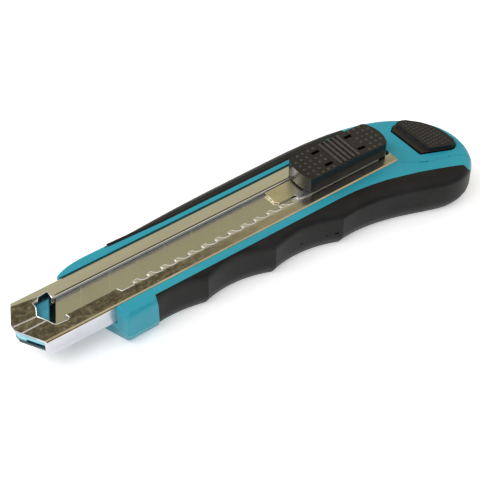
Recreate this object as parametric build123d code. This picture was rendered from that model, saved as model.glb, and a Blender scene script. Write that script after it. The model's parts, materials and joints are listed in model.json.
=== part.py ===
from build123d import *
import os
from math import cos, radians, sin, sqrt

os.makedirs("parts", exist_ok=True)

# An 18 mm snap-off knife lying on its flat back. +X runs from the nose to the butt, -Y is the finger side
# (the cutting edge) and +Z is the slot face. While the pieces are made, x = 0 is the sleeve's near nose corner,
# y = 0 the sleeve's centre line and z = 0 the surface the knife rests on. At export the whole knife is shifted
# so that the origin is the bottom centre of its bounding box. Millimetres.

# ---- driving dimensions ----
SLEEVE_HALF = 10.0  # half the width of the folded sleeve
SLEEVE_TOP = 14.0
SLEEVE_HEIGHT = 7.4
SHEET = 0.8
SLEEVE_REAR = 133.2
LIP_UNDER = SLEEVE_TOP - SHEET
FLANGE_EDGE = 7.6  # half the gap between the sleeve's bottom flanges

BLADE_LENGTH = 100.0
BLADE_WIDTH = 18.0
BLADE_THICK = 0.5
BLADE_NOSE = 9.0  # where the blade's slanted front crosses the centre line
BLADE_SLANT = 1 / sqrt(3)  # the front and the score lines run at 60 degrees to the edge
BLADE_TOP = LIP_UNDER - 0.1
EDGE_BEVEL = 1.3
SCORE_FIRST = 17.7
SCORE_PITCH = 10.0
SCORE_LINES = 8
SCORE_WIDTH = 0.3
SCORE_DEPTH = 0.1
HOLE_X = 97.5
HOLE_R = 2.1

SLOT_FAR = 4.0
SLOT_NEAR = -4.2
SLOT_FRONT = 10.2
TOOTH_PITCH = 5.0
TOOTH_FIRST = 33.7
TOOTH_COUNT = 20
TOOTH_VALLEY = -5.8

SPLIT_Z = 5.2  # parting plane of the two handle shells
SIDE_HIGH = 11.0  # the handle's side is upright between the parting plane and this height
# how far the outline has gone towards the flat back's edge, for each height under the parting plane
UNDERCUT = ((0, 1), (1.1, 0.66), (2.3, 0.34), (3.6, 0.11), (SPLIT_Z, 0))
PORT_HALF = 9.3  # loading port behind the sleeve
PORT_LOW = 8.3
PORT_HIGH = 12.5
FIT = 0.05  # gap round pieces that sit still in one another
RUN = 0.3  # gap round pieces that move

SPARE_COUNT = 5
SPARE_PITCH = 0.53
SPARE_TOP = 12.4

SLIDER_FRONT = 98.5
SLIDER_REAR = 132.8
SLIDER_HALF = 6.3
SLIDER_LOW = SLEEVE_TOP + 0.6
SLIDER_TOP = SLEEVE_TOP + 6.6  # the flat between front pad and ribs
SLIDER_CORNER = 1.5
RIB_COUNT = 5
RIB_PITCH = 1.78
RIB_HALF = 0.42
RIB_HEIGHT = 0.7
CAP_SHIFT = 0.8  # play of the thumb cap on its base, each way
CAP_HOLES_X = (108.6, 122.2)
CAP_HOLE_Y = 3.5

BUTTON_TRAVEL = 1.2
SCREW_SPOTS = ((26.0, 0.0, 7.6), (127.5, -12.9, 11.5), (139.5, -16.9, 11.5))  # x, y and tip height
SCREW_R = 1.0
SCREW_HEAD_R = 1.9
SCREW_HEAD_Z = 1.6

made = {}


def block(x0, x1, y0, y1, z0, z1):
    """A box between two corners."""
    return Pos((x0 + x1) / 2, (y0 + y1) / 2, (z0 + z1) / 2) * Box(x1 - x0, y1 - y0, z1 - z0)


def prism(points, z0, z1):
    """A straight-sided polygon, pulled up from z0 to z1."""
    outline = Polyline(*points, close=True)
    return Pos(0, 0, z0) * extrude(make_face(outline), z1 - z0)


def prism_xz(points, y0, y1):
    """A polygon drawn in x and z, pulled across from y0 to y1."""
    face = make_face(Polyline(*[(x, 0, z) for x, z in points], close=True))
    return Pos(0, y1, 0) * extrude(face, y1 - y0, dir=(0, -1, 0))


# ---- the handle's outer form ----
# Each row is one corner of the outline in plan, nose block first, then round the finger side, the butt and the
# back: where it stands on the upright side, on the deck's edge and on the flat back.
BLOCK = (((24.0, -15.6), (25.0, -14.0), (25.1, -12.7)), ((34.9, -15.3), (34.6, -13.5), (35.2, -12.6)))
STEP = ((35.4, -14.0), (35.2, -12.9), (35.6, -12.0))
SCALLOPS = (
    (((43.5, -13.7), (43.5, -13.0), (43.5, -11.8)), ((52.8, -15.5), (52.8, -13.0), (52.8, -13.4))),
    (((64.0, -13.9), (64.0, -13.0), (64.0, -12.0)), ((77.2, -17.3), (77.2, -13.0), (77.2, -15.2))),
    (((88.0, -15.7), (88.0, -13.0), (88.0, -13.8)), ((102.5, -19.3), (102.5, -13.1), (102.5, -17.2))),
)
SWEEP = (
    ((110.0, -18.9), (110.0, -13.4), (110.0, -16.8)),
    ((119.0, -20.1), (119.0, -14.6), (119.0, -18.0)),
    ((129.0, -23.1), (129.0, -17.0), (129.0, -21.0)),
    ((137.0, -26.2), (137.0, -20.0), (137.0, -24.0)),
    ((144.0, -27.8), (144.0, -23.6), (143.8, -25.4)),
    ((151.0, -25.8), (149.8, -23.2), (149.4, -23.6)),
    ((155.6, -20.3), (153.9, -18.6), (153.4, -19.2)),
    ((157.4, -12.5), (155.6, -12.0), (155.1, -12.3)),
    ((156.4, -4.9), (154.2, -5.0), (154.0, -5.5)),
    ((152.2, 2.5), (149.8, 1.4), (149.9, 1.1)),
    ((144.4, 9.2), (142.0, 7.2), (142.5, 7.4)),
    ((132.0, 14.1), (130.4, 11.4), (131.0, 12.1)),
    ((118.0, 16.6), (117.5, 12.7), (117.6, 14.6)),
    ((102.0, 17.2), (102.0, 12.9), (102.0, 15.2)),
    ((83.0, 17.0), (83.0, 12.8), (83.0, 15.0)),
    ((58.0, 16.2), (58.0, 12.8), (58.0, 14.2)),
    ((32.0, 14.5), (32.0, 12.8), (32.0, 12.6)),
    ((18.0, 12.4), (18.2, 11.9), (19.2, 11.2)),
)
FRONT_FAR = ((15.8, 11.1), (15.9, 10.9), (17.2, 10.3))
FRONT_NEAR = ((23.2, -9.0), (24.0, -9.0), (23.9, -9.0))


def ring(z, deck, base):
    """The handle's outline at height z: the side outline, moved by 'deck' towards the deck's edge and by
    'base' towards the flat back's edge."""

    def at(corner):
        side, top, low = corner
        x = side[0] + deck * (top[0] - side[0]) + base * (low[0] - side[0])
        y = side[1] + deck * (top[1] - side[1]) + base * (low[1] - side[1])
        return (x, y, z)

    edges = [Line(at(BLOCK[0]), at(BLOCK[1])), Line(at(BLOCK[1]), at(STEP))]
    start = STEP
    for valley, peak in SCALLOPS:
        edges.append(Spline(at(start), at(valley), at(peak)))
        start = peak
    edges.append(Spline(at(start), *[at(corner) for corner in SWEEP], at(FRONT_FAR)))
    edges.append(Line(at(FRONT_FAR), at(FRONT_NEAR)))
    edges.append(Line(at(FRONT_NEAR), at(BLOCK[0])))
    return make_face(Wire(edges))


def handle_form():
    """The solid outer form: rounded under, upright at the side, rounded over to the deck."""
    rings = [ring(z, 0, base) for z, base in UNDERCUT]
    rise = SLEEVE_TOP - SIDE_HIGH
    for turn in range(0, 91, 15):
        rings.append(ring(SIDE_HIGH + rise * sin(radians(turn)), 1 - cos(radians(turn)), 0))
    return loft(rings, ruled=True)


def grip_region(inner, rim, x_front, side):
    """Everything outside a handle's core on one side: 'inner' is the core's wall and 'rim' the deck's edge over
    it, both run from the front to the rear, and side is the y that lies well outside the handle."""
    wall = [(x_front, side)] + [(x_front, inner[0][1])] + list(inner[1:]) + [(inner[-1][0], side)]
    lip = [(x_front, side)] + [(x_front, rim[0][1])] + list(rim[1:]) + [(rim[-1][0], side)]
    rim_z = SLEEVE_TOP - 1.2
    return prism(wall, -1, rim_z) + prism(lip, rim_z, SLEEVE_TOP + 1)


FINGER_INNER = ((35.4, -12.0), (106.0, -12.0), (118.0, -13.6), (132.0, -16.6), (142.0, -20.6), (150.0, -21.6),
                (154.2, -17.0), (155.0, -13.0), (170.0, -13.0))
FINGER_RIM = ((35.4, -12.9), (106.0, -12.95), (112.0, -13.2), (118.0, -14.0), (124.0, -15.2), (130.0, -17.0),
              (135.0, -18.6), (140.0, -20.6), (142.6, -21.7), (145.0, -22.7), (148.0, -24.1), (150.5, -25.6),
              (158.0, -30.0), (170.0, -30.0))
SPINE_INNER = ((34.0, 11.7), (110.0, 11.7), (120.0, 11.4), (128.0, 10.9))
SPINE_RIM = ((34.0, 12.75), (83.0, 12.75), (110.0, 12.75), (120.0, 12.4), (128.0, 11.6))
# The finger grip's upper edge drops from the deck to a low band round the butt.
GRIP_UPPER = ((30, 16), (147.6, 16), (149.4, 12.7), (151.0, 11.6), (153.4, 10.6), (156.0, 10.0), (170, 9.8),
              (170, -2), (30, -2))

form = handle_form()
finger_region = grip_region(FINGER_INNER, FINGER_RIM, 35.4, -40) & prism_xz(GRIP_UPPER, -45, 10)
spine_region = grip_region(SPINE_INNER, SPINE_RIM, 34.0, 40)
made["finger_grip"] = form & finger_region
made["spine_grip"] = form & spine_region
core = form - finger_region - spine_region


# ---- handle shells ----
def screw_way(x, y):
    """The hole for one screw: recess for the head, clearance in the lower shell, pilot in the upper."""
    recess = Pos(x, y, 0) * Cylinder(SCREW_HEAD_R + FIT, 2 * (SCREW_HEAD_Z + 1.4))
    shank = Pos(x, y, 6) * Cylinder(SCREW_R, 12)
    return recess + shank


BUTTON_FRONT = 141.0
PAD_FRONT = 143.8


def button_plan(grow):
    """The release button's D outline: straight in front, slanted on the finger side, rounded at the rear."""
    edges = [
        Line((BUTTON_FRONT, 2.4), (BUTTON_FRONT, -12.0)),
        Line((BUTTON_FRONT, -12.0), (150.4, -16.1)),
        ThreePointArc((150.4, -16.1), (152.9, -15.6), (153.8, -12.6)),
        ThreePointArc((153.8, -12.6), (152.7, -4.6), (148.4, 2.0)),
        ThreePointArc((148.4, 2.0), (146.8, 3.5), (144.6, 4.0)),
        Line((144.6, 4.0), (142.9, 3.8)),
        Line((142.9, 3.8), (BUTTON_FRONT, 2.4)),
    ]
    return offset(make_face(Wire(edges)), grow)


BUTTON_FLOOR = 12.6  # underside of the button at rest
PAD_TOP = 15.7

sleeve_way = block(0, SLEEVE_REAR + FIT, -SLEEVE_HALF - FIT, SLEEVE_HALF + FIT,
                   SLEEVE_TOP - SLEEVE_HEIGHT - FIT, SLEEVE_TOP + 2)
magazine_way = block(31.0, 131.5, -FLANGE_EDGE, FLANGE_EDGE, 3.0, SLEEVE_TOP)
port_way = block(SLEEVE_REAR, 165, -PORT_HALF, PORT_HALF, PORT_LOW, PORT_HIGH)
button_way = Pos(0, 0, 9.2) * extrude(button_plan(RUN + 0.15), 10)
spring_way = Pos(146.5, -12.2, 6.2) * Cylinder(2.5, 8.4)
shell_blank = core - sleeve_way - magazine_way - port_way
for spot in SCREW_SPOTS:
    shell_blank -= screw_way(*spot[:2])
made["upper_shell"] = (shell_blank & block(0, 170, -45, 45, SPLIT_Z, 20)) - button_way - spring_way
made["lower_shell"] = (shell_blank & block(0, 170, -45, 45, -1, SPLIT_Z)) - spring_way


# ---- guide sleeve ----
NOSE = ((-0.5, SLEEVE_HALF), (-4.7, 2.0), (-4.8, -0.6), (0.4, -SLEEVE_HALF))
WINDOW = ((SLOT_FRONT + 0.2, 3.8), (10.4, 7.3), (7.1, 7.0), (6.1, 5.6), (4.6, 5.7), (4.5, 3.6), (3.0, 0.4),
          (4.7, -2.9), (5.3, -4.8), (6.2, -5.8), (9.4, -6.1), (10.6, -5.5), (SLOT_FRONT, -4.0))
NOSE_ROUND = 2.0  # the walls' lower front corners


def sleeve():
    """Folded steel channel: top sheet with slot, teeth and window, two walls and two bottom flanges."""
    low = SLEEVE_TOP - SLEEVE_HEIGHT
    plan = NOSE + ((SLEEVE_REAR, -SLEEVE_HALF), (SLEEVE_REAR, SLEEVE_HALF))
    solid = prism(plan, low, SLEEVE_TOP)
    bends = solid.edges().filter_by(Axis.X).filter_by(lambda e: e.length > 100)
    solid = fillet(bends.group_by(Axis.Z)[-1], 0.9)
    solid = fillet(solid.edges().filter_by(Axis.X).filter_by(lambda e: e.length > 100).group_by(Axis.Z)[0], 1.4)
    inside = SLEEVE_HALF - SHEET
    solid -= block(-10, SLEEVE_REAR + 1, -inside, inside, low + SHEET, LIP_UNDER)
    solid -= block(-10, SLEEVE_REAR + 1, -FLANGE_EDGE, FLANGE_EDGE, low - 1, low + SHEET + 0.1)
    for x, y in (NOSE[0], NOSE[-1]):
        corner = block(x - 6, x + NOSE_ROUND, y - 3, y + 3, low - 1, low + NOSE_ROUND)
        solid -= corner - Pos(x + NOSE_ROUND, y, low + NOSE_ROUND) * Rot(90, 0, 0) * Cylinder(NOSE_ROUND, 8)
    slot = block(SLOT_FRONT, SLEEVE_REAR + 1, SLOT_NEAR, SLOT_FAR, 12, 16)
    cut = slot + prism(WINDOW, 12, 16)
    for k in range(TOOTH_COUNT):
        cut += tooth_gap(TOOTH_FIRST + TOOTH_PITCH * k)
    cut += prism(((27.4, SLOT_NEAR + 0.5), (28.4, TOOTH_VALLEY), (32.6, TOOTH_VALLEY), (33.2, SLOT_NEAR + 0.5)),
                 12, 16)
    return solid - cut


def tooth_gap(peak):
    """The hollow behind one tooth of the row: a long curved flank, then a steep one."""
    top = SLOT_NEAR + 0.5
    edges = [
        Line((peak + 0.5, top), (peak + 0.9, SLOT_NEAR)),
        ThreePointArc((peak + 0.9, SLOT_NEAR), (peak + 2.3, TOOTH_VALLEY + 0.15), (peak + 3.9, TOOTH_VALLEY)),
        ThreePointArc((peak + 3.9, TOOTH_VALLEY), (peak + 4.35, -5.3), (peak + 4.4, top)),
        Line((peak + 4.4, top), (peak + 0.5, top)),
    ]
    return Pos(0, 0, 12) * extrude(make_face(Wire(edges)), 4)


made["guide_sleeve"] = sleeve()


# ---- blades ----
def blade_blank():
    """A parallelogram-nosed blade with its tail hole, lying with its underside at z = 0."""
    half = BLADE_WIDTH / 2
    tip = BLADE_NOSE - half * BLADE_SLANT
    plan = ((tip, -half), (tip + BLADE_LENGTH, -half), (tip + BLADE_LENGTH, half),
            (BLADE_NOSE + half * BLADE_SLANT, half))
    blank = prism(plan, 0, BLADE_THICK) - Pos(HOLE_X, 0, 0) * Cylinder(HOLE_R, 4)
    mid = BLADE_THICK / 2
    # the cutting edge is ground from both faces to a line with a 0.02 mm land
    for sign in (1, -1):
        face = make_face(Polyline((0, -half, mid + sign * 0.01), (0, -half, mid + sign),
                                  (0, -half + EDGE_BEVEL, mid + sign), (0, -half + EDGE_BEVEL, mid + sign * mid),
                                  close=True))
        blank -= extrude(face, 120, dir=(1, 0, 0))
    return blank


def score(k):
    """One score line across the blade's upper face."""
    centre = SCORE_FIRST + SCORE_PITCH * k
    reach = BLADE_WIDTH / 2 + 1
    left = centre - reach * BLADE_SLANT
    right = centre + reach * BLADE_SLANT
    half = SCORE_WIDTH / 2
    plan = ((left - half, -reach), (left + half, -reach), (right + half, reach), (right - half, reach))
    return prism(plan, BLADE_THICK - SCORE_DEPTH, BLADE_THICK + 1)


def scored_blade():
    """A blade with its snap-off score lines."""
    blade = blade_blank()
    for k in range(SCORE_LINES):
        blade -= score(k)
    return blade


made["blade"] = Pos(0, 0, BLADE_TOP - BLADE_THICK) * scored_blade()
spare = blade_blank()
made["spare_blades"] = Compound(children=[
    Pos(0, 0, SPARE_TOP - BLADE_THICK - SPARE_PITCH * k) * spare for k in range(SPARE_COUNT)
])
SPARE_LOW = SPARE_TOP - BLADE_THICK - SPARE_PITCH * (SPARE_COUNT - 1)


# ---- nose insert and magazine ----
INSERT_LOW = 8.4


def nose_insert():
    """Plastic block in the nose: the blade runs over it, and its slanted rear face stops the spare blades."""
    back_at_centre = BLADE_NOSE - 2.4
    half = SLEEVE_HALF - SHEET - FIT
    front = ((0.8, half), (-3.9, 1.8), (-4.0, -0.6), (1.0, -half))
    rear = ((back_at_centre - half * BLADE_SLANT, -half), (back_at_centre + half * BLADE_SLANT, half))
    top = BLADE_TOP - BLADE_THICK - 0.1
    insert = prism(front + rear, INSERT_LOW, top)
    insert -= block(4.5, 14.0, 5.8, 10.0, top - 2.6, top + 1)
    flange_top = SLEEVE_TOP - SLEEVE_HEIGHT + SHEET + FIT
    foot = prism(front + rear, flange_top, INSERT_LOW) & block(3.0, 20, -10, 10, flange_top, INSERT_LOW)
    tongue = block(3.0, 30.0, -FLANGE_EDGE + 0.3, FLANGE_EDGE - 0.3, flange_top - 0.6, flange_top + 0.4)
    mouth = block(-6, 1.9, -8.7, -2.6, 9.4, 10.6)
    chin = prism(((-6, 4.4), (-6, 12), (3.0, 12), (3.0, 4.4)), INSERT_LOW - 1, 10.4)
    pilot = Pos(*SCREW_SPOTS[0]) * Cylinder(SCREW_R, 4)
    return insert - mouth - chin + foot + tongue - pilot


made["nose_insert"] = nose_insert()
FOLLOWER_TOP = SPARE_LOW - FIT
made["magazine_follower"] = block(33.0, 103.0, -7.0, 7.0, FOLLOWER_TOP - 1.2, FOLLOWER_TOP)


def bow_spring():
    """Steel strip bowed up in the middle between the pocket's floor and the follower."""
    low = 3.0 + FIT
    high = FOLLOWER_TOP - 1.2 - FIT
    thick = 0.4
    outer = ThreePointArc((36, low), (68, high), (100, low))
    inner = ThreePointArc((100 - 2.4, low), (68, high - thick), (36 + 2.4, low))
    edges = [outer, Line((100, low), (100 - 2.4, low)), inner, Line((36 + 2.4, low), (36, low))]
    face = Plane.XZ.location * make_face(Wire(edges))
    return Pos(0, 5, 0) * extrude(face, 10, dir=(0, -1, 0))


made["magazine_spring"] = bow_spring()


def coil(radius, wire, pitch, height):
    """A round-wire compression spring that climbs from z = 0 to z = height."""
    path = Helix(pitch, height, radius)
    section = Plane(path @ 0, z_dir=path % 0) * Circle(wire)
    return sweep(section, path)


# ---- blade carriage ----
CARRIER_TOP = SLEEVE_TOP - 0.2


def carrier():
    """Steel plate in the slot: a front tab over the blade, and wings under the lips behind it."""
    tab = prism(((88.2, 3.6), (88.2, -1.4), (89.4, -3.0), (129.0, -3.0), (129.0, 3.6)), LIP_UNDER, CARRIER_TOP)
    wings = block(105.5, 129.0, -8.9, 8.9, BLADE_TOP - BLADE_THICK, BLADE_TOP)
    neck = block(105.5, 129.0, -3.0, 3.6, BLADE_TOP - BLADE_THICK, CARRIER_TOP)
    return tab + wings + neck


made["blade_carrier"] = carrier()
PIN_LOW = SPARE_TOP + 0.1
made["carrier_pin"] = Pos(HOLE_X, 0, (PIN_LOW + LIP_UNDER) / 2) * Cylinder(HOLE_R - 0.2, LIP_UNDER - PIN_LOW)

BASE_FRONT = 102.1
BASE_REAR = 129.1
BASE_HALF = 4.9
BASE_LOW = SLEEVE_TOP + 0.6
BASE_TOP = 17.2
SPRING_POCKET_X = (111.4, 119.6)


def slider_base():
    """Plastic base on the carrier: a foot in the slot, a body over the sleeve and four snap posts."""
    body = block(BASE_FRONT, BASE_REAR, -BASE_HALF, BASE_HALF, BASE_LOW, BASE_TOP)
    foot = block(BASE_FRONT, BASE_REAR - 1, -2.8, 3.4, CARRIER_TOP, BASE_LOW)
    base = body + foot
    base -= block(*SPRING_POCKET_X, -2.0, 2.0, BASE_LOW + 0.3, BASE_TOP + 1)
    for x in CAP_HOLES_X:
        for side in (1, -1):
            base += block(x - 0.45, x + 0.45, side * CAP_HOLE_Y - 0.35, side * CAP_HOLE_Y + 0.35, BASE_TOP, 19.0)
    return base


made["slider_base"] = slider_base()


def lock_spring():
    """Flat steel latch: a strip between base and sleeve, with a nose bent down into the row of teeth."""
    strip = prism(((95.0, -3.4), (95.0, -5.2), (98.4, -6.0), (128.0, -6.0), (128.0, -3.4)),
                  SLEEVE_TOP + 0.1, SLEEVE_TOP + 0.5)
    nose = block(95.4, 97.2, -5.3, -4.4, LIP_UNDER + 0.1, SLEEVE_TOP + 0.1)
    return strip + nose


made["lock_spring"] = lock_spring()
CAP_COIL_R = 0.95
CAP_WIRE_R = 0.2
made["cap_spring"] = Pos(112.4, 0, 16.15) * Rot(0, 90, 0) * coil(CAP_COIL_R, CAP_WIRE_R, 0.9, 6.2)


# ---- thumb cap ----
def thumb_slider():
    """Hollow cap with rounded ends, a crown of cross ribs, two dotted pads and four snap holes."""
    mid_x = (SLIDER_FRONT + SLIDER_REAR) / 2
    front = SLIDER_FRONT + 1.3
    rear = SLIDER_REAR - 2.0
    half = SLIDER_HALF
    edges = [
        Line((front, half), (rear, half)),
        ThreePointArc((rear, half), (SLIDER_REAR, 0), (rear, -half)),
        Line((rear, -half), (front, -half)),
        ThreePointArc((front, -half), (SLIDER_FRONT, 0), (front, half)),
    ]
    body = Pos(0, 0, SLIDER_LOW) * extrude(make_face(Wire(edges)), 10)
    body = fillet(body.edges().filter_by(Axis.Z), SLIDER_CORNER)
    side = [(SLIDER_FRONT - 1, SLIDER_LOW - 1), (SLIDER_REAR + 1, SLIDER_LOW - 1),
            (SLIDER_REAR + 1, SLIDER_TOP - 0.9), (124.0, SLIDER_TOP - 0.4), (120.4, SLIDER_TOP - 0.1),
            (107.0, SLIDER_TOP), (SLIDER_FRONT - 1, SLIDER_TOP - 0.3)]
    body &= prism_xz(side, -10, 10)
    body -= block(BASE_FRONT - CAP_SHIFT - RUN, BASE_REAR + CAP_SHIFT + RUN, -BASE_HALF - 0.25, BASE_HALF + 0.25,
                  SLIDER_LOW - 1, BASE_TOP + RUN)
    for x in CAP_HOLES_X:
        for s in (1, -1):
            y = s * CAP_HOLE_Y
            body -= block(x - 1.55, x + 1.55, y - 0.65, y + 0.65, SLIDER_LOW, 22)
    valley = SLIDER_TOP - 0.45
    reach = RIB_PITCH * (RIB_COUNT - 1) / 2 + RIB_HALF
    body -= block(mid_x - reach, mid_x + reach, -half + 0.5, half - 0.5, valley, 22)
    for k in range(RIB_COUNT):
        x = mid_x + RIB_PITCH * (k - (RIB_COUNT - 1) / 2)
        body += block(x - RIB_HALF, x + RIB_HALF, -half + 0.5, half - 0.5, valley - 0.1, valley + RIB_HEIGHT)
    return body


made["thumb_slider"] = thumb_slider()


# ---- rear cap, release button and their springs ----
HOOK_X = 146.5
HOOK_Y = -4.5
CAP_FRONT = 136.0
CAP_TOP = 11.0
HOOK_LOW = CAP_TOP + 0.15


def rear_cap():
    """Plug in the loading port, flush with the butt, with a keyway for the button's hook."""
    plug = form & block(CAP_FRONT, 165, -PORT_HALF + 0.15, PORT_HALF - 0.15, PORT_LOW + 0.15, CAP_TOP)
    keyway = block(CAP_FRONT - 1, HOOK_X + 1.6, HOOK_Y - 1.6, HOOK_Y + 1.6, HOOK_LOW - BUTTON_TRAVEL - 0.5, 13)
    return plug - keyway


made["rear_cap"] = rear_cap()
detent_strip = block(136.3, 140.0, -8.4, -5.6, PORT_HIGH - 0.35, PORT_HIGH - FIT)
detent_bump = block(137.6, 138.6, -8.4, -5.6, CAP_TOP + 0.1, PORT_HIGH - 0.35)
made["cap_detent"] = detent_strip + detent_bump


def release_button():
    """D-shaped push button: a low step in front, a raised pad behind."""
    step = Pos(0, 0, BUTTON_FLOOR) * extrude(button_plan(-0.05), 14.4 - BUTTON_FLOOR)
    pad = Pos(0, 0, BUTTON_FLOOR) * extrude(button_plan(-0.35), PAD_TOP - BUTTON_FLOOR)
    pad &= block(PAD_FRONT, 160, -20, 10, BUTTON_FLOOR, PAD_TOP)
    return step + pad


made["release_button"] = release_button()
made["button_hook"] = block(HOOK_X - 0.9, HOOK_X + 0.9, HOOK_Y - 0.8, HOOK_Y + 0.8, HOOK_LOW, BUTTON_FLOOR)
SPRING_WIRE = 0.3
SPRING_LOW = 2.0 + SPRING_WIRE + FIT
spring_height = BUTTON_FLOOR - FIT - SPRING_WIRE - SPRING_LOW
made["button_spring"] = Pos(HOOK_X, -12.2, SPRING_LOW) * coil(1.6, SPRING_WIRE, 1.7, spring_height)


# ---- screws ----
def screw(x, y, tip):
    """Self-tapping screw from underneath: pan head with a cross recess, and a shank."""
    head = Pos(x, y, SCREW_HEAD_Z + 0.7) * Cylinder(SCREW_HEAD_R, 1.4)
    head -= Pos(x, y, SCREW_HEAD_Z) * Box(2.2, 0.5, 1.2)
    head -= Pos(x, y, SCREW_HEAD_Z) * Box(0.5, 2.2, 1.2)
    low = SCREW_HEAD_Z + 1
    return head + Pos(x, y, (low + tip) / 2) * Cylinder(SCREW_R, tip - low)


made["housing_screws"] = Compound(children=[screw(*spot) for spot in SCREW_SPOTS])

# ---- export, with the origin at the bottom centre of the whole knife ----
whole = Compound(children=list(made.values())).bounding_box()
shift = Pos(-(whole.min.X + whole.max.X) / 2, -(whole.min.Y + whole.max.Y) / 2, -whole.min.Z)
for name, shape in made.items():
    export_step(Compound(children=[solid.moved(shift) for solid in shape.solids()]), f"parts/{name}.step")
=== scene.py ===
import json
import math

import bmesh
import bpy
from mathutils import Matrix, Vector
from mathutils.bvhtree import BVHTree


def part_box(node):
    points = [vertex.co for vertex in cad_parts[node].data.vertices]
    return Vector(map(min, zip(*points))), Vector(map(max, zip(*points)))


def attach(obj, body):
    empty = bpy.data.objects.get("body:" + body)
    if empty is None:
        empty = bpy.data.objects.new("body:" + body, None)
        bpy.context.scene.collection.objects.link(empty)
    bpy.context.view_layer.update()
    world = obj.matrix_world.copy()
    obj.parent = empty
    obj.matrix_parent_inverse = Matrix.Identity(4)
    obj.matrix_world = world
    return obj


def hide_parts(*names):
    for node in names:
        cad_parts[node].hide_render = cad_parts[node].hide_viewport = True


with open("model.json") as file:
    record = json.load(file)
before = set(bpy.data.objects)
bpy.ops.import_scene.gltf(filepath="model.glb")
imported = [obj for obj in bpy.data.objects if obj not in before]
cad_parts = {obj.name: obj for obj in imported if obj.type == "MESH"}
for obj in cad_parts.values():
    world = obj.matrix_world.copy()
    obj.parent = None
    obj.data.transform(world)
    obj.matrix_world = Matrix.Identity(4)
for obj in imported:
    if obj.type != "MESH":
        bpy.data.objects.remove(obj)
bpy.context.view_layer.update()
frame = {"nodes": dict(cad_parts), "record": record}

MM = 0.001
nodes = frame["nodes"]

# The knife's own measuring lines: the sleeve's centre line, its rear end and its top face.
SLEEVE_REAR = 133.2
sleeve_low, sleeve_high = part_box("guide_sleeve")
CENTRE_Y = (sleeve_low.y + sleeve_high.y) / 2
ZERO_X = sleeve_high.x - SLEEVE_REAR * MM
TOP_Z = sleeve_high.z
UP = Vector((0, 0, 1))


def place(x, y, z=0.0):
    """A point in the row frame. It is given in millimetres: x from the sleeve's near nose corner towards the butt,
    y from the sleeve's centre line away from the fingers, z up from the sleeve's top face."""
    return Vector((ZERO_X + x * MM, CENTRE_Y + y * MM, TOP_Z + z * MM))


# ---- nodes for materials ----
def maker(node_tree):
    """A function that adds one node to a tree, with its inputs linked or set."""

    def add(kind, inputs=None, **settings):
        node = node_tree.nodes.new(kind)
        for key, value in settings.items():
            setattr(node, key, value)
        for key, value in (inputs or {}).items():
            if isinstance(value, bpy.types.NodeSocket):
                node_tree.links.new(value, node.inputs[key])
            else:
                node.inputs[key].default_value = value
        return node

    return add


def tree(name):
    """A new material, its shader, the maker of its nodes and its links."""
    material = bpy.data.materials.new(name)
    material.use_nodes = True
    shader = material.node_tree.nodes["Principled BSDF"]
    return material, shader, maker(material.node_tree), material.node_tree.links


def axes(add):
    """The row-frame position's three coordinates, by the names X, Y and Z."""
    where = add("ShaderNodeTexCoord").outputs["Object"]
    return add("ShaderNodeSeparateXYZ", {"Vector": where}).outputs


def facing_up(add):
    """How nearly the surface faces up, from -1 to 1."""
    normal = add("ShaderNodeNewGeometry").outputs["Normal"]
    return add("ShaderNodeSeparateXYZ", {"Vector": normal}).outputs["Z"]


def ramp(add, value, stops):
    """A colour ramp on a value: stops are (position, (r, g, b))."""
    node = add("ShaderNodeValToRGB", {"Fac": value})
    elements = node.color_ramp.elements
    while len(elements) < len(stops):
        elements.new(0.5)
    for element, (position, colour) in zip(elements, stops):
        element.position = position
        element.color = (*colour, 1)
    return node.outputs["Color"]


def noise(add, scale, detail=3.0, rough=0.5, stretch=(1, 1, 1)):
    """Noise over the row frame: scale in cycles per metre, and a factor on it for each axis."""
    where = add("ShaderNodeTexCoord").outputs["Object"]
    scaled = add("ShaderNodeMapping", {"Vector": where, "Scale": stretch}).outputs["Vector"]
    return add("ShaderNodeTexNoise", {"Vector": scaled, "Scale": scale, "Detail": detail,
                                      "Roughness": rough}).outputs["Fac"]


def mottle(add, dark, light, scale, *grain):
    """A colour that wanders between two shades, with noise's own settings."""
    return ramp(add, noise(add, scale, *grain), [(0.3, dark), (0.7, light)])


def span(add, value, low, high):
    """Maps 0..1 to low..high."""
    return add("ShaderNodeMapRange", {"Value": value, "To Min": low, "To Max": high}).outputs["Result"]


def step(add, value, start, stop):
    """Goes smoothly from 0 at start to 1 at stop, whichever of the two is higher."""
    return add("ShaderNodeMapRange", {"Value": value, "From Min": min(start, stop), "From Max": max(start, stop),
                                      "To Min": float(start > stop), "To Max": float(start < stop)},
               interpolation_type="SMOOTHSTEP").outputs["Result"]


def reach(add, axis, start, stop):
    """Goes smoothly from 0 to 1 between two of the knife's places along one axis, in millimetres."""
    zero = place(0, 0)["XYZ".index(axis)]
    return step(add, axes(add)[axis], zero + start * MM, zero + stop * MM)


def combine(add, first, second, kind):
    """Two values joined by a math operation."""
    return add("ShaderNodeMath", {0: first, 1: second}, operation=kind).outputs["Value"]


def product(add, first, *others):
    """Values multiplied together, so that masks overlap."""
    for other in others:
        first = combine(add, first, other, "MULTIPLY")
    return first


def union(add, first, second):
    """The greater of two masks."""
    return combine(add, first, second, "MAXIMUM")


def blend_of(add, factor, first, second, kind="MIX"):
    """Two colours mixed by a factor."""
    return add("ShaderNodeMixRGB", {"Fac": factor, "Color1": first, "Color2": second},
               blend_type=kind).outputs["Color"]


def bump(add, links, shader, height, strength, depth):
    """Gives the surface a height of a depth in millimetres."""
    node = add("ShaderNodeBump", {"Height": height, "Strength": strength, "Distance": depth * MM})
    links.new(node.outputs["Normal"], shader.inputs["Normal"])


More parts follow.
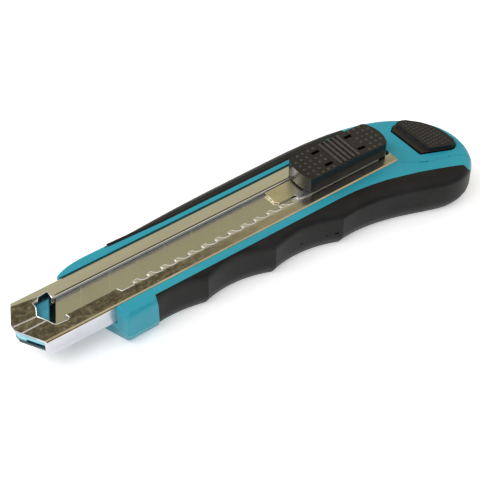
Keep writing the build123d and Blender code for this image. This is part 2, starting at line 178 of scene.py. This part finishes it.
# ---- materials ----
def moulded(name, paint, rough, grain, depth, sheen=0.5, uneven=140, strength=0.35):
    """Moulded plastic: a colour made by the paint function, uneven gloss and a fine eroded grain."""
    material, shader, add, links = tree(name)
    shader.inputs["Specular IOR Level"].default_value = sheen
    links.new(paint(add), shader.inputs["Base Color"])
    links.new(span(add, noise(add, uneven), *rough), shader.inputs["Roughness"])
    bump(add, links, shader, noise(add, grain, 4), strength, depth)
    return material


def metal(name, dark, light, rough, streak, depth, scale=300):
    """Worked metal: streaks in colour, gloss and height."""
    material, shader, add, links = tree(name)
    shader.inputs["Metallic"].default_value = 1.0
    links.new(mottle(add, dark, light, scale, 4, 0.6, streak), shader.inputs["Base Color"])
    links.new(span(add, noise(add, 900, 5, 0.6, streak), *rough), shader.inputs["Roughness"])
    bump(add, links, shader, noise(add, 1400, 4, 0.6, streak), 0.2, depth)
    return material


def drifting(dark, light, scale):
    """Paint that drifts between two shades."""
    return lambda add: mottle(add, dark, light, scale)


def insert_paint(add):
    """The nose insert's teal: darker at the top, paler under the nose, and near-black low down inside the sleeve
    as painted shade of the deep gap.
    """
    base_tone = mottle(add, (0.015, 0.19, 0.27), (0.03, 0.25, 0.35), 400)
    paler_tone = mottle(add, (0.20, 0.58, 0.68), (0.28, 0.66, 0.78), 400)
    # painted shade: near-black teal low down inside the sleeve, where the deep gap lies in shade
    painted_shade_low = mottle(add, (0.004, 0.03, 0.035), (0.01, 0.06, 0.07), 500)
    upper = blend_of(add, reach(add, "Z", -1.6, -2.0), base_tone, paler_tone)
    return blend_of(add, reach(add, "Z", -3.6, -4.4), upper, painted_shade_low)


FLASH_Z = -8.9


def flash_paint(add):
    """Teal with a paler line along the moulding's flash, a painted highlight."""
    # painted highlight: a paler band along the flash line
    painted_highlight = product(add, reach(add, "Z", FLASH_Z - 0.22, FLASH_Z - 0.12),
                     reach(add, "Z", FLASH_Z + 0.2, FLASH_Z + 0.1))
    base_tone = mottle(add, (0.014, 0.235, 0.305), (0.022, 0.270, 0.345), 60)
    pale = mottle(add, (0.10, 0.40, 0.46), (0.22, 0.54, 0.60), 500)
    return blend_of(add, painted_highlight, base_tone, pale)


RIBS_FRONT = 111.5
RIBS_REAR = 119.7
RIBS_CREST = 6.85


def highlight_paint(pale, ribbed):
    """Black painted paler, as far as 'pale', on the dots' flanks and the rounded rims, and on the ribs' crests
    where there are ribs: a painted highlight."""

    def paint(add):
        up = facing_up(add)
        # painted highlight: lighter colour on faces tilted between flat and steep, and on the ribs' crests
        painted_highlight = product(add, step(add, up, 0.35, 0.6), step(add, up, 0.985, 0.93))
        if ribbed:
            crests = product(add, reach(add, "X", RIBS_FRONT - 0.4, RIBS_FRONT),
                             reach(add, "X", RIBS_REAR + 0.4, RIBS_REAR),
                             reach(add, "Z", RIBS_CREST - 0.25, RIBS_CREST - 0.05))
            painted_highlight = union(add, painted_highlight, crests)
        base_tone = mottle(add, (0.005, 0.0044, 0.004), (0.009, 0.008, 0.007), 400)
        paler_tone = mottle(add, (0.6 * pale, 0.56 * pale, 0.51 * pale), (1.1 * pale, pale, 0.94 * pale), 700)
        return blend_of(add, painted_highlight, base_tone, paler_tone)

    return paint


NOSE_FOLD_Y = 8.1  # where the nose's far fold crosses x = 0
NOSE_FOLD_SLOPE = 0.16


def patina(add, top):
    """Where the brown patina lies: on the near lip, fading to the rear, and on the nose up to its far fold."""
    lip = union(add, product(add, reach(add, "Y", -3.0, -4.2), reach(add, "X", 36, 31)),
                reach(add, "Y", -5.2, -6.4))
    zero = place(0, NOSE_FOLD_Y)
    fold = zero.y + NOSE_FOLD_SLOPE * zero.x
    slanted = combine(add, axes(add)["Y"], product(add, axes(add)["X"], NOSE_FOLD_SLOPE), "ADD")
    nose = product(add, reach(add, "X", 8.6, 7.4), step(add, slanted, fold + 0.15 * MM, fold - 0.15 * MM))
    return product(add, union(add, product(add, lip, reach(add, "X", 92, 38)), nose), top)


def sleeve_paint(add, up):
    """Plated steel: walls bluer and a little darker than the top as a painted reflection, amber and brown where
    handled, a gold painted reflection at the near bend, a dark line beside the slot's far edge, painted shade
    along the far bend."""
    top = step(add, up, 0.985, 0.999)
    # painted reflection: the walls are bluer and a little darker than the top, set by how the surface faces
    colour = blend_of(add, step(add, up, 0.45, 0.2),
                      mottle(add, (0.66, 0.64, 0.60), (0.75, 0.73, 0.69), 70, 3, 0.5, (0.3, 1, 1)),
                      mottle(add, (0.55, 0.555, 0.60), (0.62, 0.62, 0.66), 260, 3, 0.5, (0.4, 1, 1)))
    amber = mottle(add, (0.22, 0.17, 0.10), (0.48, 0.42, 0.29), 500, 4, 0.6, (0.4, 1, 1))
    brown = ramp(add, noise(add, 900, 4, 0.65, (0.7, 1, 1)),
                 [(0.30, (0.09, 0.078, 0.062)), (0.5, (0.18, 0.16, 0.13)), (0.70, (0.38, 0.35, 0.29))])
    # painted reflection: a gold tint on the near bend's rounded faces
    gold_reflection = mottle(add, (0.40, 0.32, 0.18), (0.56, 0.47, 0.30), 300, 3, 0.5, (0.3, 1, 1))
    # painted shade: dark along the far bend, where the gap to the shell lies in shade
    groove_shade = mottle(add, (0.02, 0.03, 0.03), (0.07, 0.08, 0.07), 700, 3, 0.5, (0.2, 1, 1))
    # a dark brown line on the top beside the slot's far edge
    dark_line = mottle(add, (0.10, 0.08, 0.05), (0.17, 0.14, 0.09), 600, 3, 0.5, (0.2, 1, 1))
    handled = product(add, reach(add, "Y", -5.6, -6.8), 0.62, top)
    near_bend = product(add, step(add, up, 0.25, 0.4), step(add, up, 0.995, 0.97), reach(add, "Y", -8.6, -8.9))
    far_groove = product(add, reach(add, "Y", 8.9, 9.2), reach(add, "X", 16, 17))
    slot_side = product(add, reach(add, "Y", 4.95, 4.8), reach(add, "Y", 4.25, 4.4), top, reach(add, "X", 11, 12))
    for mask, layer in ((handled, amber), (patina(add, top), brown), (near_bend, gold_reflection), (far_groove, groove_shade),
                        (slot_side, dark_line)):
        colour = blend_of(add, mask, colour, layer)
    return colour


def sleeve_steel():
    """The sleeve's bright plated sheet, matt where it was punched through."""
    material, shader, add, links = tree("sleeve_steel")
    shader.inputs["Metallic"].default_value = 1.0
    up = facing_up(add)
    links.new(sleeve_paint(add, up), shader.inputs["Base Color"])
    punched = product(add, step(add, up, 0.3, 0.15), reach(add, "Y", 7.5, 6.5), reach(add, "Y", -7.5, -6.5))
    gloss = span(add, noise(add, 500, 4, 0.6, (0.3, 1, 1)), 0.16, 0.26)
    links.new(combine(add, gloss, product(add, punched, 0.55), "ADD"), shader.inputs["Roughness"])
    bump(add, links, shader, noise(add, 900, 4, 0.6, (0.3, 1, 1)), 0.2, 0.01)
    return material


LOOKS = {
    "teal_plastic": moulded("teal_plastic", drifting((0.012, 0.262, 0.345), (0.018, 0.298, 0.390), 60),
                            (0.30, 0.40), 2600, 0.02, 0.42),
    "grip_rubber": moulded("grip_rubber", drifting((0.005, 0.0044, 0.0038), (0.011, 0.0098, 0.0098), 150),
                           (0.36, 0.5), 3400, 0.04, 0.2),
    "black_plastic": moulded("black_plastic", drifting((0.005, 0.0044, 0.004), (0.009, 0.008, 0.007), 400),
                             (0.20, 0.32), 3000, 0.03, 0.4),
    "bright_steel": sleeve_steel(),
    "blade_steel": metal("blade_steel", (0.49, 0.475, 0.41), (0.53, 0.515, 0.45), (0.24, 0.32), (1, 0.3, 1),
                         0.003, 60),
    "carrier_steel": metal("carrier_steel", (0.54, 0.50, 0.36), (0.66, 0.61, 0.45), (0.25, 0.4), (1, 1, 1), 0.01),
    "spring_steel": metal("spring_steel", (0.45, 0.45, 0.44), (0.62, 0.62, 0.60), (0.15, 0.3), (0.3, 1, 1), 0.01),
}
OWN_LOOKS = {
    "nose_insert": moulded("insert_plastic", insert_paint, (0.3, 0.45), 2600, 0.02, uneven=300, strength=0.3),
    "thumb_slider": moulded("slider_plastic", highlight_paint(0.06, True), (0.20, 0.32), 3000, 0.03, 0.4),
    "release_button": moulded("button_plastic", highlight_paint(0.035, False), (0.20, 0.32), 3000, 0.03, 0.4),
    "lower_shell": moulded("flashed_plastic", flash_paint, (0.30, 0.40), 2600, 0.02, 0.42),
}
slot_of = {part["node"]: part["material_slot"] for part in frame["record"]["subparts"]}
body_of = {node: body for body, members in frame["record"]["behaviour"]["bodies"].items() for node in members}


def look_of(node):
    """The material of a CAD node."""
    return OWN_LOOKS.get(node, LOOKS[slot_of[node]])


# ---- forms: bmesh surfaces in the row frame ----
def merge(form, other):
    """Adds one form to another and frees the other."""
    mesh = bpy.data.meshes.new("part")
    other.to_mesh(mesh)
    other.free()
    form.from_mesh(mesh)
    bpy.data.meshes.remove(mesh)


def clean_form(node, whole=True):
    """The CAD node's surface, with the flat faces made whole again if asked."""
    form = bmesh.new()
    form.from_mesh(nodes[node].data)
    bmesh.ops.remove_doubles(form, verts=form.verts, dist=0.002 * MM)
    if whole:
        bmesh.ops.dissolve_limit(form, angle_limit=math.radians(0.6), verts=form.verts, edges=form.edges)
    return form


def round_off(form, chosen, width, segments=5):
    """Rounds the hard edges of a form whose two ends are both chosen."""
    edges = [edge for edge in form.edges if len(edge.link_faces) == 2 and all(chosen(v.co) for v in edge.verts)
             and edge.calc_face_angle(0) > math.radians(30)]
    bmesh.ops.bevel(form, geom=edges, offset=width * MM, segments=segments, affect="EDGES", profile=0.5,
                    clamp_overlap=True)


def bead(form, centre, width, height, sides=10, tiers=3):
    """Adds a low round bead, sunk as deep into the surface as it is high."""
    rows = []
    for tier in range(tiers):
        turn = math.radians(90) * tier / tiers
        r = width * math.cos(turn)
        z = height * math.sin(turn)
        rows.append([form.verts.new(centre + Vector((r * math.cos(math.tau * k / sides),
                                                     r * math.sin(math.tau * k / sides), z)))
                     for k in range(sides)])
    rows.append([form.verts.new(centre + height * UP)])
    low = [form.verts.new(v.co - height * UP) for v in rows[0]]
    form.faces.new(low[::-1])
    rows.insert(0, low)
    for below, above in zip(rows, rows[1:]):
        for k in range(sides):
            n = (k + 1) % sides
            if len(above) == 1:
                form.faces.new((below[k], below[n], above[0]))
            else:
                form.faces.new((below[k], below[n], above[n], above[k]))


def heading_at(points, k):
    """The direction of a line of points at one of them."""
    return (points[min(k + 1, len(points) - 1)] - points[max(k - 1, 0)]).normalized()


def join_rows(form, rows):
    """Closes a tube from its rows of points."""
    for first, second in zip(rows, rows[1:]):
        for s in range(len(first)):
            n = (s + 1) % len(first)
            form.faces.new((first[s], first[n], second[n], second[s]))
    form.faces.new(rows[0][::-1])
    form.faces.new(rows[-1])
    bmesh.ops.recalc_face_normals(form, faces=form.faces)


def wire_form(points, radius, sides=6):
    """A closed round tube along a line of points."""
    form = bmesh.new()
    rings = []
    for k, point in enumerate(points):
        way = heading_at(points, k)
        across = way.cross(UP).normalized()
        lift = across.cross(way)
        rings.append([form.verts.new(point + radius * (math.cos(math.tau * s / sides) * across
                                                       + math.sin(math.tau * s / sides) * lift))
                      for s in range(sides)])
    join_rows(form, rings)
    return form


# a low ridge's section: shares of its half width and of its height
RIDGE_SECTION = ((-1, -1), (-1, 0), (-0.5, 0.8), (0, 1), (0.5, 0.8), (1, 0), (1, -1))


def ridge(form, points, half, height):
    """Adds a low round-backed ridge along a line of points on a flat face."""
    rows = []
    for k, point in enumerate(points):
        way = heading_at(points, k)
        across = Vector((-way.y, way.x, 0))
        rows.append([form.verts.new(point + half * s * across + height * h * UP) for s, h in RIDGE_SECTION])
    join_rows(form, rows)


def along(points, pitch):
    """Points at an even pitch along a smooth curve through the given ones."""
    dense = []
    for k in range(len(points) - 1):
        before, start = points[max(k - 1, 0)], points[k]
        stop, after = points[k + 1], points[min(k + 2, len(points) - 1)]
        count = max(2, int((stop - start).length / pitch))
        for s in range(count):
            t = s / count
            dense.append(0.5 * ((2 * start) + (stop - before) * t
                                + (2 * before - 5 * start + 4 * stop - after) * t * t
                                + (3 * start - before - 3 * stop + after) * t * t * t))
    dense.append(points[-1])
    return dense


# ---- pieces: objects that stand for CAD nodes ----
def to_piece(form, name):
    """A new smooth-shaded object from a form, which is freed."""
    for face in form.faces:
        face.smooth = True
    mesh = bpy.data.meshes.new(name)
    form.to_mesh(mesh)
    form.free()
    piece = bpy.data.objects.new(name, mesh)
    bpy.context.scene.collection.objects.link(piece)
    return piece


def bake(piece):
    """Turns a piece's modifiers into its mesh."""
    bpy.context.view_layer.update()
    graph = bpy.context.evaluated_depsgraph_get()
    mesh = bpy.data.meshes.new_from_object(piece.evaluated_get(graph), preserve_all_data_layers=True,
                                           depsgraph=graph)
    piece.modifiers.clear()
    piece.data = mesh


def break_edges(piece, width, segments):
    """A small round bevel on every hard edge."""
    if width > 0:
        edge = piece.modifiers.new("edge", "BEVEL")
        edge.width = width * MM
        edge.segments = segments
        edge.limit_method = "ANGLE"
        edge.angle_limit = math.radians(28)
        edge.use_clamp_overlap = True
    bake(piece)


def cut_away(piece, cuts):
    """Cuts a form out of a piece."""
    tool = to_piece(cuts, piece.name + "_cuts")
    cutter = piece.modifiers.new("cuts", "BOOLEAN")
    cutter.operation = "DIFFERENCE"
    cutter.solver = "EXACT"
    cutter.object = tool
    bake(piece)
    bpy.data.objects.remove(tool)


def build_on(piece, additions):
    """Adds a form to a piece."""
    form = bmesh.new()
    form.from_mesh(piece.data)
    merge(form, additions)
    for face in form.faces:
        face.smooth = True
    form.to_mesh(piece.data)
    form.free()


def even_shading(piece):
    """Leaves hard edges sharp and weighs the shading by face area."""
    piece.data.set_sharp_from_angle(angle=math.radians(32))
    weighted = piece.modifiers.new("weighted", "WEIGHTED_NORMAL")
    weighted.weight = 100
    weighted.keep_sharp = True


def settle(piece, node):
    """Makes a piece stand for a CAD node: its body, slot and material, and the node hidden."""
    piece.data.materials.clear()
    piece.data.materials.append(look_of(node))
    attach(piece, body_of[node])
    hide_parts(node)


def refined(node, width, segments=2, cuts=None, additions=None, whole=True, soft=None):
    """A CAD node's solid with broken edges of a width in millimetres, cut by one form and added to by another.
    'soft' picks the points whose hard edges get a larger round first, and gives its width."""
    form = clean_form(node, whole)
    if soft is not None:
        round_off(form, *soft)
    piece = to_piece(form, node + "_body")
    break_edges(piece, width, segments)
    if cuts is not None:
        cut_away(piece, cuts)
    if additions is not None:
        build_on(piece, additions)
    even_shading(piece)
    settle(piece, node)


def surface_of(node):
    """A search tree over a CAD node's surface."""
    form = bmesh.new()
    form.from_mesh(nodes[node].data)
    found = BVHTree.FromBMesh(form)
    form.free()
    return found


def under(skin, point):
    """Where a surface is first met straight under a point, or None."""
    return skin.ray_cast(point, -UP)[0]


# ---- camera ----
VIEW_AZIMUTH = math.radians(-35.76)
VIEW_ELEVATION = math.radians(44.56)
VIEW_ROLL = math.radians(-0.56)
FOCAL_PIXELS = 1275.56
IMAGE_SIDE = 480

back = Vector((math.sin(VIEW_AZIMUTH) * math.cos(VIEW_ELEVATION),
               -math.cos(VIEW_AZIMUTH) * math.cos(VIEW_ELEVATION), math.sin(VIEW_ELEVATION)))
level = Vector((math.cos(VIEW_AZIMUTH), math.sin(VIEW_AZIMUTH), 0))
right = math.cos(VIEW_ROLL) * level + math.sin(VIEW_ROLL) * back.cross(level)
lens = bpy.data.cameras.new("view")
lens.sensor_width = 36
lens.lens = FOCAL_PIXELS / IMAGE_SIDE * lens.sensor_width
lens.clip_start = 0.01
camera = bpy.data.objects.new("view", lens)
turn = Matrix((right, back.cross(right), back)).transposed()
camera.matrix_world = Matrix.Translation(place(-94.5, -236.5, 275.8)) @ turn.to_4x4()
bpy.context.scene.collection.objects.link(camera)
bpy.context.scene.camera = camera

# ---- floor ----
bpy.context.scene.view_settings.view_transform = "Standard"
FLOOR_HALF = 3.0
FLOOR_GLOW = 0.32
floor_mesh = bpy.data.meshes.new("floor")
floor_mesh.from_pydata([(-FLOOR_HALF, -FLOOR_HALF, 0), (FLOOR_HALF, -FLOOR_HALF, 0),
                        (FLOOR_HALF, FLOOR_HALF, 0), (-FLOOR_HALF, FLOOR_HALF, 0)], [], [(0, 1, 2, 3)])
floor = bpy.data.objects.new("floor", floor_mesh)
bpy.context.scene.collection.objects.link(floor)
paper, shader, add, links = tree("paper")
links.new(mottle(add, (0.90, 0.90, 0.90), (0.92, 0.92, 0.92), 8), shader.inputs["Base Color"])
shader.inputs["Roughness"].default_value = 0.9
shader.inputs["Emission Color"].default_value = (1, 1, 1, 1)
shader.inputs["Emission Strength"].default_value = FLOOR_GLOW
shader.inputs["Specular IOR Level"].default_value = 0.1
floor_mesh.materials.append(paper)

# ---- studio ----
# It is white all round, with a tan wall behind the knife to the right, a dark gap over the camera and a dark
# curtain to the left: the direction of each, and its colours by how nearly a direction points to it.
SURROUNDINGS = (
    ((0.42, 0.58, 0.70), [(0.80, (0.97, 0.97, 0.98)), (0.90, (0.55, 0.51, 0.34))]),
    ((0.40, -0.85, 0.33), [(0.89, (1, 1, 1)), (0.97, (0.08, 0.08, 0.08))]),
    ((-0.97, 0.1, 0.2), [(0.55, (1, 1, 1)), (0.80, (0.12, 0.12, 0.12))]),
)
world = bpy.data.worlds.new("studio")
world.use_nodes = True
add = maker(world.node_tree)
heading = add("ShaderNodeTexCoord").outputs["Generated"]
colour = (1, 1, 1, 1)
for direction, stops in SURROUNDINGS:
    aim = Vector(direction).normalized()
    nearness = add("ShaderNodeVectorMath", {0: heading, 1: aim}, operation="DOT_PRODUCT").outputs["Value"]
    colour = blend_of(add, 1.0, colour, ramp(add, nearness, stops), "MULTIPLY")
background = world.node_tree.nodes["Background"]
world.node_tree.links.new(colour, background.inputs["Color"])
background.inputs["Strength"].default_value = 1.0
bpy.context.scene.world = world


def softbox(name, where, size, power):
    """A square area light at a place in metres, turned to the origin."""
    lamp = bpy.data.lights.new(name, "AREA")
    lamp.size = size
    lamp.energy = power
    holder = bpy.data.objects.new(name, lamp)
    holder.location = where
    holder.rotation_euler = Vector(where).to_track_quat("Z", "Y").to_euler()
    bpy.context.scene.collection.objects.link(holder)


softbox("key", (-0.9, -0.1, 1.1), 0.9, 7)
softbox("rim", (-0.75, 0.9, 0.93), 0.6, 7)

# ---- the knife ----
for node, item in nodes.items():
    item.data.materials.clear()
    item.data.materials.append(look_of(node))

# plain pieces, with the width of their broken edges
PLAIN = {"nose_insert": 0.3, "blade_carrier": 0.06, "slider_base": 0.15, "lock_spring": 0.08, "rear_cap": 0.2}
for node, width in PLAIN.items():
    refined(node, width)

# blade: the score lines are rolled in and leave a low burr
SCORE_FIRST = 17.7
SCORE_PITCH = 10.0
SCORE_LINES = 8
SCORE_SLANT = 1 / math.sqrt(3)
SCORE_REACH = 8.6
BLADE_TOP = -0.9
burrs = bmesh.new()
for k in range(SCORE_LINES):
    centre = SCORE_FIRST + SCORE_PITCH * k
    line = [place(centre + y * SCORE_SLANT, y, BLADE_TOP)
            for y in (-SCORE_REACH, -SCORE_REACH / 2, 0, SCORE_REACH / 2, SCORE_REACH)]
    ridge(burrs, line, 0.2 * MM, 0.035 * MM)
refined("blade", 0, additions=burrs)

# guide sleeve: two coined ridges run from the nose's front edge to the window; the punched edges of the teeth,
# the window and the slot's far side are rolled over; each tooth is a little crowned
COINED = (((-4.5, 0.85), (3.1, 0.45)), ((-3.9, -2.7), (4.5, -2.6)))
TOOTH_FIRST = 33.7
TOOTH_PITCH = 5.0
ROLLED_TEETH = 15
CROWNED_TEETH = 12
FIRST_GAP = ((27.6, -4.2), (28.4, -5.8), (32.6, -5.8), (33.1, -4.3))
TOOTH_GAP = ((0.9, -4.2), (1.5, -5.0), (2.3, -5.62), (3.1, -5.78), (3.9, -5.8), (4.25, -5.55), (4.4, -4.8),
             (4.45, -4.3))
WINDOW_EDGE = ((10.3, 4.0), (10.4, 7.3), (7.1, 7.0), (6.1, 5.6), (4.6, 5.7), (4.5, 3.6), (3.0, 0.4),
               (4.7, -2.9), (5.3, -4.8), (6.2, -5.8), (9.4, -6.1), (10.6, -5.5), (10.2, -4.0))
SLOT_FAR = [(x, 4.12) for x in (10.9, 40, 70, 100, 133.1)]
tooth_row = list(FIRST_GAP)
for k in range(ROLLED_TEETH):
    tooth_row += [(TOOTH_FIRST + TOOTH_PITCH * k + x, y) for x, y in TOOTH_GAP]
details = bmesh.new()
for start, stop in COINED:
    first, last = place(*start), place(*stop)
    ridge(details, [first.lerp(last, k / 6) for k in range(7)], 0.28 * MM, 0.10 * MM)
for edge, depth, radius in ((tooth_row, 0.12, 0.22), (WINDOW_EDGE, 0.1, 0.17), (SLOT_FAR, 0.1, 0.18)):
    merge(details, wire_form([place(x, y, -depth) for x, y in edge], radius * MM, 8))
for k in range(CROWNED_TEETH):
    bead(details, place(TOOTH_FIRST + TOOTH_PITCH * k - 0.1, -4.95), 0.55 * MM, 0.16 * MM, 12, 4)
refined("guide_sleeve", 0, additions=details, whole=False)

# thumb slider: raised dots on both pads, clear of the holes and the rounded ends
DOT_PITCH = 2.15
DOT_ROWS = 6
PADS = ((100.6, 5), (124.2, 4))  # the first column's x and the number of columns
HOLES_X = (108.6, 122.2)
HOLE_Y = 3.5
dots = bmesh.new()
skin = surface_of("thumb_slider")
for first, columns in PADS:
    for i in range(columns):
        for j in range(DOT_ROWS):
            x = first + DOT_PITCH * i
            y = DOT_PITCH * (j - (DOT_ROWS - 1) / 2)
            near_hole = min(abs(x - hole) for hole in HOLES_X) < 2.2 and abs(abs(y) - HOLE_Y) < 1.3
            outside = abs(y) > 5.6 or (abs(y) > 4.5 and not 102 <= x <= 129.5)
            hit = under(skin, place(x, y, 12))
            if not near_hole and not outside and hit is not None:
                bead(dots, hit, 0.5 * MM, 0.24 * MM)
refined("thumb_slider", 0.35, 3, additions=dots)

# release button: a finer field of dots on its pad, kept off the pad's rim
RIM_WIDTH = 0.9
ROUND_ABOUT = ((0, 0), (RIM_WIDTH, 0), (-RIM_WIDTH, 0), (0, RIM_WIDTH), (0, -RIM_WIDTH))
PAD_LEVEL = 1.2  # everything higher is the pad
dots = bmesh.new()
skin = surface_of("release_button")
for i in range(8):
    for j in range(13):
        x = 145.2 + 1.25 * i
        y = 3.0 - 1.4 * j
        hits = [under(skin, place(x + dx, y + dy, 12)) for dx, dy in ROUND_ABOUT]
        if all(hit is not None and hit.z > TOP_Z + PAD_LEVEL * MM for hit in hits):
            bead(dots, hits[0], 0.42 * MM, 0.22 * MM, 8)
refined("release_button", 0.25, 3, additions=dots)

# spine grip: its rim laps a little over the deck, and tapers off it at the front
LAP_Y = 12.35
LAP_TAPER = 0.04
lap = bmesh.new()
ridge(lap, [place(x, LAP_Y + max(0, 55 - x) * LAP_TAPER) for x in range(35, 121, 5)], 0.7 * MM, 0.12 * MM)
refined("spine_grip", 0.4, additions=lap)

# finger grip: three small moulding pits beside the parting line, by x, z and radius
PITS = ((88.5, -8.0, 0.35), (100.7, -8.2, 0.5), (97.6, -8.3, 0.25))
pits = bmesh.new()
skin = surface_of("finger_grip")
for x, z, radius in PITS:
    hit = skin.ray_cast(place(x, -40, z), Vector((0, 1, 0)))[0]
    bmesh.ops.create_uvsphere(pits, u_segments=12, v_segments=8, radius=radius * MM,
                              matrix=Matrix.Translation(hit) @ Matrix.Diagonal((1.6, 1.2, 0.7, 1)))
refined("finger_grip", 0.4, cuts=pits)


def block_corner(point):
    """True at the front block's outer corner, under the deck."""
    x = (point.x - ZERO_X) / MM
    y = (point.y - CENTRE_Y) / MM
    z = (point.z - TOP_Z) / MM
    return y < -12.3 and x < 25.5 and z < 0.01


# lower shell: the moulding's flash line round the front block
FLASH = ((23.35, -10.2), (23.84, -14.3), (24.05, -15.1), (24.7, -15.52), (26.0, -15.55), (34.6, -15.31))
flash = wire_form([place(x, y, FLASH_Z) for x, y in FLASH], 0.14 * MM)
refined("lower_shell", 0.3, soft=(block_corner, 1.5), additions=flash)

# upper shell: the fine seam that runs behind the button to the butt
SEAM = ((133.6, -11.6), (138.0, -14.9), (141.5, -16.7), (148.1, -18.7), (151.1, -20.1), (152.6, -22.2),
        (153.2, -24.5))
skin = surface_of("upper_shell")
hits = [under(skin, point + 10 * MM * UP) for point in along([place(x, y) for x, y in SEAM], 0.5 * MM)]
seam = wire_form([hit for hit in hits if hit is not None], 0.36 * MM)
refined("upper_shell", 0.3, soft=(block_corner, 0.9), cuts=seam)
